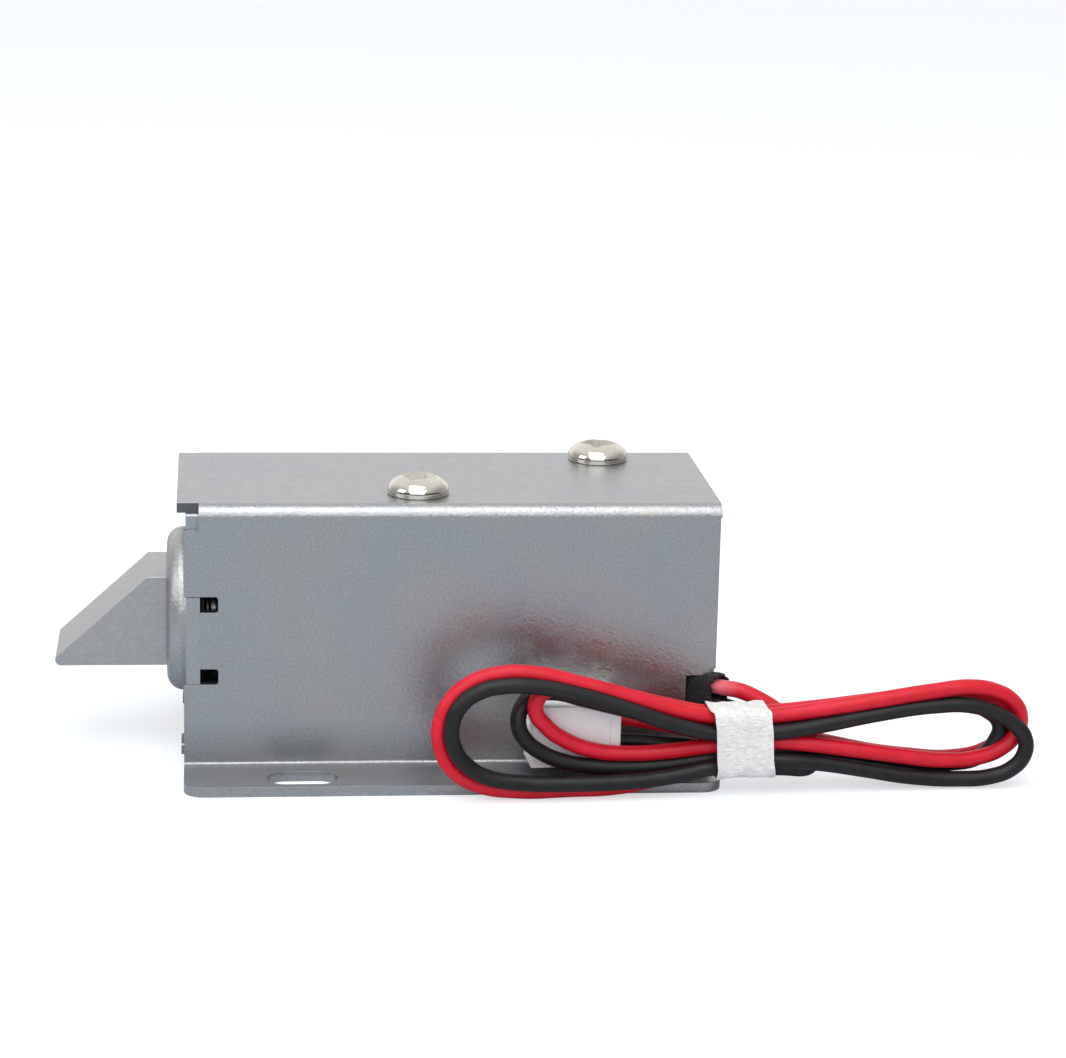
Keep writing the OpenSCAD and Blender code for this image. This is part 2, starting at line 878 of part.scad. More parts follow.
module connector_housing() {
    color(nylon)
        in_plug()
            difference() {
                union() {
                    translate([-plug_l, 0, 0])
                        rotate([90, 0, 90])
                            linear_extrude(plug_l)
                                rounded(plug_d - 2 * plug_rib_t, plug_h - 2 * plug_rib_t, plug_chamfer);
                    translate([-plug_rib_l, 0, 0])
                        rotate([90, 0, 90])
                            linear_extrude(plug_rib_l)
                                rounded(plug_d, plug_h, plug_chamfer);
                }
                for (z = [-plug_pitch / 2, plug_pitch / 2]) {
                    translate([-plug_l - past, 0, z])
                        rotate([0, 90, 0])
                            cylinder(h = plug_l + 2 * past, r = plug_bore_r);
                    translate([-plug_l / 2, -plug_d / 2, z])
                        cube([plug_window_l, plug_d / 2, plug_window_w], center = true);
                }
            }
}

module connector_contacts() {
    color(nickel)
        in_plug()
            for (z = [-plug_pitch / 2, plug_pitch / 2])
                translate([-plug_mouth - contact_l, -contact_t / 2, z - contact_t / 2])
                    cube([contact_l, contact_t, contact_t]);
}

case_cover();
nose_plate();
base_plate();
cover_screws();
solenoid_frame();
coil_bobbin();
coil_winding();
winding_tape();
plunger_sleeve();
pole_piece();
pole_shim();
coil_terminals();
latch_bolt();
bolt_pin();
plunger();
return_spring();
wire_sleeve();
red_lead();
black_lead();
lead_hank();
lead_tie();
connector_housing();
connector_contacts();
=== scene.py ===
# %% [markdown]
# # A solenoid lock with tied leads, on a white table
#
# The part is a folded zinc-plated case with a sprung latch bolt at one end and two
# leads, red and black, that are tied in a hank and end in a white connector. The CAD
# model gives every rigid piece its place and size, so this script loads it first and
# only dresses it. All lengths are in metres, and `mm` keeps them easy to read.

# %% Load the frame
import math

import bpy
from mathutils import Matrix, Vector


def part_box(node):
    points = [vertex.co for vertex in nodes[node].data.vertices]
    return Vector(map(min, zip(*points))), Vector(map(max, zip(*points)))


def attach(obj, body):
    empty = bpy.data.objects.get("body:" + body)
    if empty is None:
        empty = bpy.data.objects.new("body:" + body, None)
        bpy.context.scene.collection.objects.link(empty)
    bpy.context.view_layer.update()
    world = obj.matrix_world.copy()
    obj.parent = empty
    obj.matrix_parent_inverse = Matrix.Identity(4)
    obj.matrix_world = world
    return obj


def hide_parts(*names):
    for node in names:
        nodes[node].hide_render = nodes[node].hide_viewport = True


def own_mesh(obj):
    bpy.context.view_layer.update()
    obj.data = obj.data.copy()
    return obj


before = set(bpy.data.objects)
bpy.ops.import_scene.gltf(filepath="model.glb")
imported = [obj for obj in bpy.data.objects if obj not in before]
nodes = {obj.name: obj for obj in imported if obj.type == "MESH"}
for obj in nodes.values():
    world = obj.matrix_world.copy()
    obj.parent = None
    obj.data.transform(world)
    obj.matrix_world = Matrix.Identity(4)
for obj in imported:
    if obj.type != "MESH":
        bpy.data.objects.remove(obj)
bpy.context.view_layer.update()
mm = 0.001

# %% [markdown]
# ## The camera
#
# The picture is taken from a little above the case and slightly to its left, with a
# long lens, so the case's edges stay nearly parallel. The camera could be placed by
# eye, but the case has long straight edges, so its place was worked out from them:
# three turns (yaw, pitch and roll) and a position, which are plain values here.

# %% Camera
camera_at = Vector((-23.3, -313.95, 100.8)) * mm
camera_yaw = math.radians(-5.94)
camera_down = math.radians(14.02)
camera_roll = math.radians(1.33)
camera_lens = 106.59

camera_data = bpy.data.cameras.new("camera")
camera_data.lens = camera_lens
camera_data.sensor_width = 36
camera_data.clip_start = 0.01
camera = bpy.data.objects.new("camera", camera_data)
bpy.context.scene.collection.objects.link(camera)
camera.matrix_world = (
    Matrix.Translation(camera_at)
    @ Matrix.Rotation(camera_yaw, 4, "Z")
    @ Matrix.Rotation(math.pi / 2 - camera_down, 4, "X")
    @ Matrix.Rotation(camera_roll, 4, "Z")
)
bpy.context.scene.camera = camera
print("camera", round(camera_at.length / mm), "mm from the lock")

# %% [markdown]
# ## The leads
#
# Each lead is one soft wire of about 275 mm. It comes out of the cloth sleeve, turns
# back behind the tie, runs round the big loop on the left, through the tie to the loop
# on the right, back round the small loop on the left, once more round the right and at
# last into the connector. A bevelled curve is the natural way to draw a wire, because
# its line is the wire's centre and its bevel is the insulation.
#
# Inside the hank a point is easier to place as (along, back, up): along the case, back
# from the hank's front towards the wall, and up from the table.

# %% Wire routes
lead_d = 1.6 * mm
hank_left = Vector((4.75, -21.8))
hank_turn = math.radians(3.36)


def in_hank(along, back, up):
    """A point of the hank in the row frame, in millimetres."""
    y = hank_left.y + (along - hank_left.x) * math.tan(hank_turn) + back / math.cos(hank_turn)
    return (along, y, up)


red_out = [
    (24.1, -5.6, 4.35), (24.1, -7, 7), (24.2, -8.8, 8.5), (24.6, -10.5, 8.85),
    (27.3, -13.2, 8.85), (29.2, -14.2, 8.75), (31.2, -14.8, 7.95), (33, -15.3, 6.9),
    (34.8, -16.1, 5.7), (36.3, -17.6, 4.4),
]
black_out = [
    (24.1, -8.6, 4.35), (24.3, -9.6, 6), (25, -10.9, 7.05), (27.3, -13.2, 7.05),
    (29.5, -14.5, 6.6), (31.6, -15.1, 5.4), (33.6, -15.8, 4.2), (35.2, -16.7, 3.1),
    (35.9, -17.6, 2.5),
]

red_big_left = [
    (36.2, 1.9, 3.5), (33.5, 2.3, 3.0), (29.5, 2.5, 2.9), (25.5, 2.2, 2.7), (22.5, 1.6, 2.05),
    (19.5, 0.9, 1.4), (16, 0.5, 0.95), (11.5, 0.5, 0.85), (6, 0.6, 0.85), (2.3, 0.7, 1.5),
    (0, 0.7, 2.9), (-1.3, 0.7, 5.1), (-1.55, 0.7, 7.5), (-0.7, 0.7, 9.9), (1.1, 0.7, 11.7),
    (3.8, 0.7, 12.7), (7.5, 0.6, 12.75), (12.5, 0.5, 11.55), (17, 0.45, 10.25), (21.5, 0.5, 8.8),
]
red_right = [
    (25.5, 0.5, 7.95), (31.5, 0.5, 7.85), (36, 0.3, 8.4), (42, 0, 9.35), (47.8, 0, 10.15),
    (51.5, 0.2, 10.4), (54.2, 0.5, 9.85), (56.2, 0.8, 8.6), (57.1, 1.0, 6.9), (56.8, 1.1, 5.2),
    (55.5, 1.0, 3.8), (53, 0.7, 2.9), (49, 0.3, 2.85), (44.4, 0, 3.55), (39.4, 0, 4.35),
    (34.5, 0.3, 5.0),
]
red_small_left = [
    (31.5, 0.5, 5.2), (28.5, 0.55, 5.05), (25.5, 1.0, 4.75), (21.5, 1.4, 4.2), (17.5, 1.6, 4.0),
    (13.9, 1.6, 4.4), (10.9, 1.55, 5.6), (9.0, 1.45, 7.1), (7.9, 1.35, 8.9), (8.5, 1.4, 10.4),
    (10.3, 1.5, 11.1), (13, 1.6, 10.85), (17, 1.7, 9.9), (22, 2.05, 8.5),
]
red_right_again = [
    (25.5, 2.1, 7.8), (31.5, 2.1, 7.75), (36, 1.95, 8.1), (42, 2.0, 8.7), (48, 2.2, 9.2),
    (52, 2.4, 9.1), (54.8, 2.5, 8.1), (56.3, 2.6, 6.4), (56.0, 2.8, 4.5), (54.2, 3.1, 2.9),
    (50.5, 3.3, 2.1), (46, 3.3, 2.45), (42, 3.2, 3.1), (38, 2.9, 4.1), (34.5, 2.3, 5.0),
]
red_end = [
    (31.4, 1.9, 5.35), (28.5, 2.2, 5.5), (25.5, 2.4, 5.65), (23, 3.3, 5.95), (20, 4.35, 6.35),
    (17.5, 5.05, 6.6), (15.5, 5.25, 6.7),
]

black_big_left = [
    (35.6, 1.4, 2.15), (33, 1.2, 2.2), (28.5, 0.4, 2.8), (25.5, -0.2, 2.85), (22.5, -0.3, 2.3),
    (19.5, -0.4, 1.9), (16.5, -0.5, 1.75), (10.5, -0.5, 1.75), (6.5, -0.4, 1.95),
    (3.2, -0.4, 2.6), (1.1, -0.4, 3.9), (-0.2, -0.4, 5.8), (-0.4, -0.4, 8.0), (0.5, -0.4, 10.1),
    (2.3, -0.4, 11.35), (4.6, -0.4, 11.85), (7.5, -0.4, 11.75), (12.5, -0.3, 10.65),
    (17, -0.35, 9.15), (21.5, -0.4, 7.5),
]
black_right = [
    (25.5, -0.4, 6.5), (31.5, -0.4, 6.4), (36, -0.2, 6.9), (42, 0, 7.9), (47.9, -0.1, 8.65),
    (51.6, -0.2, 8.6), (54.1, -0.3, 7.8), (56.2, -0.4, 6.55), (57.35, -0.5, 5.0),
    (57.3, -0.5, 3.4), (56.2, -0.4, 2.0), (54, -0.3, 1.15), (50.8, 0, 0.9), (45.7, 0, 1.3),
    (40.8, 0, 2.2), (36.5, 0, 2.95),
]
black_small_left = [
    (31.5, 0.1, 3.45), (28.5, 1.3, 3.6), (25.5, 1.3, 3.35), (21.5, 1.5, 2.75), (17.5, 1.6, 2.55),
    (14, 1.6, 2.75), (11, 1.6, 3.3), (8.7, 1.6, 4.3), (7.0, 1.6, 5.7), (6.3, 1.8, 7.2),
    (6.6, 2.3, 8.7), (7.8, 2.9, 9.8), (9.8, 2.8, 10.1), (13, 2.0, 9.5), (17, 1.7, 8.5),
    (22, 1.7, 7.2),
]
black_right_again = [
    (25.5, 1.35, 6.5), (31.5, 1.4, 6.4), (36, 1.6, 6.7), (42, 1.7, 7.4), (47, 1.75, 8.05),
    (51, 1.8, 8.15), (53.8, 1.8, 7.4), (55.2, 1.8, 5.9), (54.9, 1.8, 4.3), (53.3, 1.8, 2.6),
    (50.5, 1.8, 2.0), (46, 1.7, 2.35), (42, 1.7, 2.95), (38, 1.65, 3.5),
]
black_end = [
    (34.5, 1.6, 3.85), (31.4, 1.6, 3.85), (28.5, 2.0, 3.95), (25.5, 2.3, 4.0), (23, 3.3, 4.1),
    (20, 4.35, 4.2), (17.5, 5.05, 4.2), (15.5, 5.25, 4.2),
]

red_hank = red_big_left + red_right + red_small_left + red_right_again + red_end
red_line = red_out + [in_hank(*p) for p in red_hank]
black_hank = black_big_left + black_right + black_small_left + black_right_again + black_end
black_line = black_out + [in_hank(*p) for p in black_hank]
print("red points:", len(red_line), "black points:", len(black_line))

# %% Draw a wire along its points


def line_length(curve_object):
    """Length of a curve's own line, without its thickness."""
    bevel, curve_object.data.bevel_depth = curve_object.data.bevel_depth, 0
    evaluated = curve_object.evaluated_get(bpy.context.evaluated_depsgraph_get())
    bare = evaluated.to_mesh()
    points = bare.vertices
    length = sum((points[a].co - points[b].co).length for a, b in (e.vertices for e in bare.edges))
    evaluated.to_mesh_clear()
    curve_object.data.bevel_depth = bevel
    return length


def draw_wire(name, points, diameter):
    """One smooth bevelled curve through points in millimetres."""
    data = bpy.data.curves.new(name, "CURVE")
    data.dimensions = "3D"
    data.resolution_u = 8
    data.bevel_depth = diameter / 2
    data.bevel_resolution = 5
    data.use_fill_caps = True
    spline = data.splines.new("BEZIER")
    spline.bezier_points.add(len(points) - 1)
    for knot, point in zip(spline.bezier_points, points):
        knot.co = Vector(point) * mm
        knot.handle_left_type = knot.handle_right_type = "AUTO"
    wire = bpy.data.objects.new(name, data)
    bpy.context.scene.collection.objects.link(wire)
    bpy.context.view_layer.update()
    return wire


red_wire = draw_wire("red_wire", red_line, lead_d)
black_wire = draw_wire("black_wire", black_line, lead_d)
red_length = line_length(red_wire)
black_length = line_length(black_wire)
print("red lead", round(red_length / mm, 1), "mm, black lead", round(black_length / mm, 1), "mm")

# %% [markdown]
# ## A bench of small helpers
#
# New pieces are modelled as by hand: a primitive is added at its place, shaped in edit
# mode and finished with modifiers. A few helpers cover the chores. `add` adds a
# primitive with nothing else selected, `select_faces` picks faces by a rule on their
# centre and normal, `settle` puts the object's place into its mesh, so that patterns on
# Object coordinates sit still, and `modify` adds a modifier and applies it. `tube` gives
# the tie and the sleeve their start.
#
# `soft_edged` is for the CAD's own pieces. Their meshes are loose triangles with
# knife-sharp edges, so it copies a mesh, merges the copy's doubles, dissolves the flat
# triangles, bevels the sharp edges and weights the normals by area, which keeps the
# large faces flat to the eye.

# %% Modelling helpers


def nothing_selected():
    """Leaves edit mode and deselects every object."""
    if bpy.context.object and bpy.context.object.mode != "OBJECT":
        bpy.ops.object.mode_set(mode="OBJECT")
    bpy.ops.object.select_all(action="DESELECT")


def add(name, kind, **size):
    """A named primitive of this kind, the only object selected."""
    nothing_selected()
    getattr(bpy.ops.mesh, f"primitive_{kind}_add")(**size)
    piece = bpy.context.object
    piece.name = name
    return piece


def select_faces(piece, rule):
    """In edit mode, selects the faces whose centre and normal satisfy the rule."""
    bpy.ops.mesh.select_mode(type="FACE")
    bpy.ops.mesh.select_all(action="DESELECT")
    bpy.ops.object.mode_set(mode="OBJECT")
    for face in piece.data.polygons:
        face.select = bool(rule(face.center, face.normal))
    bpy.ops.object.mode_set(mode="EDIT")


def tube(name, sides, length, rows):
    """An open tube of radius 1 m along X from the origin, drawn out from a circle in rows."""
    piece = add(name, "circle", vertices=sides, radius=1, location=(0, 0, 0), rotation=(0, math.pi / 2, 0))
    settle(piece)
    bpy.ops.object.mode_set(mode="EDIT")
    bpy.ops.mesh.select_all(action="SELECT")
    for row in range(rows):
        bpy.ops.mesh.extrude_region_move(TRANSFORM_OT_translate={"value": (length / rows, 0, 0)})
    bpy.ops.object.mode_set(mode="OBJECT")
    return piece


def settle(piece):
    """Puts the object's place, turn and scale into its mesh."""
    nothing_selected()
    piece.select_set(True)
    bpy.context.view_layer.objects.active = piece
    bpy.ops.object.transform_apply(location=True, rotation=True, scale=True)


def modify(piece, kind, **settings):
    """Adds one modifier and applies it at once."""
    nothing_selected()
    piece.select_set(True)
    bpy.context.view_layer.objects.active = piece
    modifier = piece.modifiers.new(kind.lower(), kind)
    for setting, value in settings.items():
        setattr(modifier, setting, value)
    bpy.ops.object.modifier_apply(modifier=modifier.name)


def smooth(piece, angle=35):
    """Smooth shading that keeps edges sharper than the angle, in degrees."""
    nothing_selected()
    piece.select_set(True)
    bpy.context.view_layer.objects.active = piece
    bpy.ops.object.shade_smooth_by_angle(angle=math.radians(angle))


def soft_edged(node, name, width):
    """A copy of a CAD node, merged and with its sharp edges rounded by a width in millimetres."""
    nothing_selected()
    piece = nodes[node].copy()
    piece.data = nodes[node].data.copy()
    piece.parent = None
    for fact in list(piece.keys()):
        del piece[fact]
    piece.name = name
    bpy.context.scene.collection.objects.link(piece)
    piece.select_set(True)
    bpy.context.view_layer.objects.active = piece
    bpy.ops.object.mode_set(mode="EDIT")
    bpy.ops.mesh.select_all(action="SELECT")
    bpy.ops.mesh.remove_doubles(threshold=0.0005 * mm)
    bpy.ops.mesh.dissolve_limited(angle_limit=math.radians(0.5))
    bpy.ops.object.mode_set(mode="OBJECT")
    modify(piece, "BEVEL", width=width * mm, segments=3, limit_method="ANGLE", angle_limit=math.radians(35))
    smooth(piece, 40)
    modify(piece, "WEIGHTED_NORMAL", keep_sharp=True, weight=100)
    return piece


print("helpers ready")

# %% [markdown]
# ## Procedural finishes
#
# Every finish starts from one shader and reads Object coordinates, so it needs no
# picture and stays put when the bolt moves. A `Finish` holds one material: `grain` gives
# a noise of a real size in millimetres, `tint` spreads a few close colours over it,
# `roughen` lets the gloss wander and `relief` raises the surface by a small height.

# %% Material helpers


def set_stops(ramp, stops):
    """Gives a colour ramp its stops of (position, colour)."""
    ends = ramp.color_ramp.elements
    while len(ends) < len(stops):
        ends.new(0.5)
    for end, (position, colour) in zip(ends, stops):
        end.position, end.color = position, (*colour, 1)


def grey_stops(levels, blue=1.0):
    """Stops of plain greys from (position, level), with the blue share scaled."""
    return [(position, (level, level, level * blue)) for position, level in levels]


def set_range(node, low, high, to_low, to_high):
    """Maps values from low..high to to_low..to_high in a Map Range node."""
    node.inputs["From Min"].default_value = low
    node.inputs["From Max"].default_value = high
    node.inputs["To Min"].default_value = to_low
    node.inputs["To Max"].default_value = to_high


class Finish:
    """One material under construction: its node tree and its main shader."""

    def __init__(self, name, colour, metallic=0.0, roughness=0.5):
        self.material = bpy.data.materials.new(name)
        self.material.use_nodes = True
        self.tree = self.material.node_tree
        self.shader = self.tree.nodes["Principled BSDF"]
        self.shader.inputs["Base Color"].default_value = (*colour, 1)
        self.shader.inputs["Metallic"].default_value = metallic
        self.shader.inputs["Roughness"].default_value = roughness
        self.place = self.tree.nodes.new("ShaderNodeTexCoord").outputs["Object"]

    def node(self, kind, **values):
        """A node whose inputs or settings are set by name."""
        made = self.tree.nodes.new(f"ShaderNode{kind}")
        for name, value in values.items():
            if hasattr(made, name):
                setattr(made, name, value)
            else:
                made.inputs[name.replace("_", " ")].default_value = value
        return made

    def link(self, source, target):
        self.tree.links.new(source, target)

    def stretched(self, x, y, z):
        """Object coordinates scaled by a factor a side, for drawn or brushed patterns."""
        mapping = self.node("Mapping")
        mapping.inputs["Scale"].default_value = (x, y, z)
        self.link(self.place, mapping.inputs["Vector"])
        return mapping.outputs["Vector"]

    def grain(self, size, detail=3.0, place=None):
        """Noise whose blotches are about this many millimetres across."""
        noise = self.node("TexNoise", Scale=1 / (size * mm), Detail=detail)
        self.link(place or self.place, noise.inputs["Vector"])
        return noise.outputs["Fac"]

    def tint(self, source, stops):
        """Colours the base from stops of (position, colour) along a noise."""
        ramp = self.node("ValToRGB")
        set_stops(ramp, stops)
        self.link(source, ramp.inputs["Fac"])
        self.link(ramp.outputs["Color"], self.shader.inputs["Base Color"])
        return ramp.outputs["Color"]

    def roughen(self, source, low, high):
        """Lets the roughness wander between two values."""
        spread = self.node("MapRange")
        set_range(spread, 0.3, 0.7, low, high)
        self.link(source, spread.inputs["Value"])
        self.link(spread.outputs["Result"], self.shader.inputs["Roughness"])

    def relief(self, source, height, strength=1.0):
        """Raises the surface by up to this many millimetres where the noise is bright."""
        bump = self.node("Bump", Strength=strength, Distance=height * mm)
        self.link(source, bump.inputs["Height"])
        before = self.shader.inputs["Normal"].links
        if before:
            self.link(before[0].from_socket, bump.inputs["Normal"])
        self.link(bump.outputs["Normal"], self.shader.inputs["Normal"])


def wear(material, *names):
    """Gives CAD nodes their material."""
    for name in names:
        slots = nodes[name].data.materials
        slots.clear()
        slots.append(material)


print("finishes start from one shader")

# %% [markdown]
# ## Zinc-plated sheet
#
# The case is dull zinc plate: a soft blue-grey metal with faint cool and warm clouds
# 9 mm across, a gloss that wanders over 1.2 mm, and fine grain of 0.3 mm that breaks the
# light on the bends into sparkles. Near the table the plate's colour is darkened as painted
# shade, standing in for the shade in the fold between wall and flange. That painted shade
# follows the height: it sets in below 5.4 mm, is darkest from 2.1 to 1.2 mm and is gone on the flange's
# front edge.

# %% Zinc plate
# Painted shade: the zinc colour is darkened by height near the table, for the shade in the fold.
painted_shade_reach = 6 * mm
painted_shade_levels = [(0.0, 1.0), (0.14, 1.0), (0.2, 0.72), (0.35, 0.74), (0.9, 1.0)]


def zinc_plate(name, warm, cool, gloss):
    zinc = Finish(name, cool, metallic=1.0)
    middle = [(a + b) / 2 for a, b in zip(warm, cool)]
    clouds = zinc.tint(zinc.grain(9, detail=5), [(0.35, cool), (0.52, middle), (0.68, warm)])
    zinc.roughen(zinc.grain(1.2, detail=4), gloss, gloss + 0.1)
    zinc.relief(zinc.grain(0.3, detail=3), 0.04)
    zinc.relief(zinc.grain(2.5, detail=2), 0.01)

    # The height ramp is painted shade; the speckle multiplied into it is the plate's own pitting.
    height = zinc.node("SeparateXYZ")
    share = zinc.node("Math", operation="DIVIDE")
    share.inputs[1].default_value = painted_shade_reach
    painted_shade_ramp = zinc.node("ValToRGB")
    set_stops(painted_shade_ramp, grey_stops(painted_shade_levels))
    speckle = zinc.node("MapRange")
    set_range(speckle, 0.3, 0.7, 0.88, 1.1)
    painted_shade_and_speckle = zinc.node("Math", operation="MULTIPLY")
    shaded = zinc.node("VectorMath", operation="SCALE")
    zinc.link(zinc.place, height.inputs[0])
    zinc.link(height.outputs["Z"], share.inputs[0])
    zinc.link(share.outputs[0], painted_shade_ramp.inputs["Fac"])
    zinc.link(zinc.grain(0.25, detail=3), speckle.inputs["Value"])
    zinc.link(painted_shade_ramp.outputs["Color"], painted_shade_and_speckle.inputs[0])
    zinc.link(speckle.outputs["Result"], painted_shade_and_speckle.inputs[1])
    zinc.link(clouds, shaded.inputs[0])
    zinc.link(painted_shade_and_speckle.outputs[0], shaded.inputs["Scale"])
    zinc.link(shaded.outputs["Vector"], zinc.shader.inputs["Base Color"])
    return zinc.material


case_zinc = zinc_plate("case_zinc", warm=(0.47, 0.465, 0.455), cool=(0.43, 0.45, 0.475), gloss=0.3)
nose_zinc = zinc_plate("nose_zinc", warm=(0.5, 0.5, 0.5), cool=(0.44, 0.46, 0.49), gloss=0.34)
# A much darker zinc, painted shade for the punched edge that lies in shadow in the notch.
notch_shade_zinc = zinc_plate("notch_shade_zinc", warm=(0.2, 0.2, 0.2), cool=(0.16, 0.17, 0.18), gloss=0.45)
wear(case_zinc, "case_cover", "base_plate")
wear(nose_zinc, "nose_plate")
print("zinc:", case_zinc.name, nose_zinc.name, notch_shade_zinc.name)

# %% [markdown]
# On real sheet every cut edge and every bend catches a thin line of light, so the four
# sheet and cast pieces are shown as soft-edged copies of their CAD meshes. The numbers
# are the bevels in millimetres. In the notch at the top left corner the sheet's punched
# edge faces the viewer, and it gets a darker zinc: painted shade for the shadow in the notch.

# %% Rounded edges
case_shell = soft_edged("case_cover", "case_shell", 0.12)
base_shell = soft_edged("base_plate", "base_shell", 0.08)
nose_shell = soft_edged("nose_plate", "nose_shell", 0.1)
bolt_casting = soft_edged("latch_bolt", "bolt_casting", 0.22)

case_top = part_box("case_cover")[1].z
notch_back = -24.5 * mm
notch_under = case_top - 3.4 * mm
notch_front = -12.4 * mm
# Painted shade: the notch's punched edge gets the darker zinc for the shadow that falls there.
case_shell.data.materials.append(notch_shade_zinc)
for face in case_shell.data.polygons:
    in_notch = face.center.x < notch_back and face.center.y > notch_front and face.center.z > notch_under
    face.material_index = int(in_notch and face.normal.y < -0.9 and abs(face.normal.z) < 0.5)
print("rounded:", case_shell.name, base_shell.name, nose_shell.name, bolt_casting.name)

# %% [markdown]
# ## The cast bolt
#
# The bolt is a die casting: greyer and flatter than the sheet, with fine pores and the
# faint long scratches of its work against strike plates.

# %% Cast bolt
cast = Finish("cast_zinc", (0.5, 0.5, 0.5), metallic=1.0)
cast.tint(cast.grain(0.35, detail=4), [(0.3, (0.46, 0.46, 0.47)), (0.7, (0.54, 0.535, 0.535))])
cast.roughen(cast.grain(0.5), 0.34, 0.48)
cast.relief(cast.grain(0.25, detail=4), 0.012)
cast.relief(cast.grain(0.3, place=cast.stretched(0.12, 1, 1)), 0.006)
wear(cast.material, "latch_bolt")
bolt_casting.data.materials.clear()
bolt_casting.data.materials.append(cast.material)
print("cast finish on the bolt")

# %% [markdown]
# ## Metals and plastics inside
#
# Little of the solenoid shows, but each piece gets its own finish: plated steel for
# the frame and pole, turned steel for the plunger and pin, drawn brass for the sleeve
# and shim, copper wire under yellow tape, tinned pins and natural nylon.

# %% Inner finishes


def turned_metal(name, colour, gloss, along=(0.1, 1, 1)):
    metal = Finish(name, colour, metallic=1.0)
    lines = metal.grain(0.25, place=metal.stretched(*along))
    metal.tint(lines, [(0.3, [0.85 * c for c in colour]), (0.7, colour)])
    metal.roughen(lines, gloss, gloss + 0.12)
    metal.relief(lines, 0.004)
    return metal.material


wear(turned_metal("frame_steel", (0.55, 0.56, 0.58), 0.3), "solenoid_frame", "pole_piece")
wear(turned_metal("plunger_steel", (0.62, 0.62, 0.63), 0.22, along=(1, 0.1, 0.1)), "plunger", "bolt_pin")
wear(turned_metal("drawn_brass", (0.8, 0.62, 0.3), 0.25), "plunger_sleeve", "pole_shim")
wear(turned_metal("tinned_pin", (0.75, 0.74, 0.7), 0.25), "coil_terminals", "connector_contacts")

copper = Finish("copper_wire", (0.72, 0.36, 0.18), metallic=1.0)
turns = copper.node("TexWave", wave_type="BANDS", bands_direction="X", Scale=0.31 / (0.35 * mm))
copper.link(copper.place, turns.inputs["Vector"])
# Painted shade: the colour is darkest in the grooves between the turns, where the bump is lowest.
copper.tint(turns.outputs["Fac"], [(0.1, (0.35, 0.14, 0.06)), (0.8, (0.78, 0.4, 0.2))])
copper.relief(turns.outputs["Fac"], 0.08)
wear(copper.material, "coil_winding")

tape = Finish("yellow_tape", (0.86, 0.68, 0.12), roughness=0.28)
tape.tint(tape.grain(3), [(0.35, (0.8, 0.6, 0.08)), (0.7, (0.9, 0.74, 0.18))])
tape.relief(tape.grain(0.6), 0.01)
wear(tape.material, "winding_tape")


def moulded_nylon(name, colour):
    nylon = Finish(name, colour, roughness=0.4)
    nylon.tint(nylon.grain(4), [(0.3, [0.95 * c for c in colour]), (0.7, colour)])
    nylon.roughen(nylon.grain(0.8), 0.32, 0.45)
    nylon.relief(nylon.grain(0.3), 0.006)
    nylon.shader.inputs["Subsurface Weight"].default_value = 0.15
    nylon.shader.inputs["Subsurface Radius"].default_value = (1 * mm, 0.9 * mm, 0.8 * mm)
    return nylon.material


wear(moulded_nylon("bobbin_nylon", (0.86, 0.85, 0.8)), "coil_bobbin")
connector_nylon = moulded_nylon("connector_nylon", (0.95, 0.94, 0.95))
wear(connector_nylon, "connector_housing")
print("inner pieces dressed")

# %% [markdown]
# ## Insulation
#
# The leads are soft vinyl, red and nearly black, with about the same satin gloss. Two
# close tints and small dull rubs keep the surface from looking like paint.

# %% Vinyl insulation


def vinyl(name, dark, light, gloss):
    skin = Finish(name, light, roughness=gloss)
    skin.tint(skin.grain(2.2, detail=5), [(0.32, dark), (0.66, light)])
    skin.roughen(skin.grain(0.7, detail=4), gloss, gloss + 0.14)
    skin.relief(skin.grain(0.35, detail=3), 0.012)
    skin.shader.inputs["Specular IOR Level"].default_value = 0.4
    return skin.material


red_wire.data.materials.append(vinyl("red_vinyl", (0.62, 0.004, 0.016), (0.74, 0.008, 0.03), 0.34))
black_wire.data.materials.append(vinyl("black_vinyl", (0.006, 0.006, 0.007), (0.012, 0.012, 0.013), 0.36))
print("vinyl on both leads")

# %% [markdown]
# Where the red lead leaves its sleeve it is rubbed and dusty, which makes it pink. The
# dust thins out with the distance from that place.

# %% Dust on the red lead
dust_at = Vector((26.4, -12.3, 8.9)) * mm
dust_colour = (0.86, 0.3, 0.36, 1)
dust_share = 0.75
thick_within = 0.8 * mm
gone_beyond = 3.6 * mm

red_skin = red_wire.data.materials[0].node_tree
red_base = red_skin.nodes["Principled BSDF"].inputs["Base Color"]
red_place = red_skin.nodes.new("ShaderNodeTexCoord")
away = red_skin.nodes.new("ShaderNodeVectorMath")
away.operation = "DISTANCE"
away.inputs[1].default_value = dust_at
dusty = red_skin.nodes.new("ShaderNodeMapRange")
set_range(dusty, thick_within, gone_beyond, dust_share, 0)
powder = red_skin.nodes.new("ShaderNodeMix")
powder.data_type = "RGBA"
clean_input, dust_input, mixed_output = powder.inputs[6], powder.inputs[7], powder.outputs[2]
dust_input.default_value = dust_colour
red_skin.links.new(red_place.outputs["Object"], away.inputs[0])
red_skin.links.new(away.outputs["Value"], dusty.inputs["Value"])
red_skin.links.new(dusty.outputs["Result"], powder.inputs["Factor"])
red_skin.links.new(red_base.links[0].from_socket, clean_input)
red_skin.links.new(mixed_output, red_base)
print("dust where the red lead leaves its sleeve")

# %% [markdown]
# ## The paper tie
#
# A band of creped paper tape holds the ten strands together. It starts as a circle and
# is drawn out to its width in steps, so that it can buckle. Its points are then moved
# one by one: the circle is squared to the bundle, sharper in front than behind, its
# edges lean and ripple, and a displacement gives the creases.

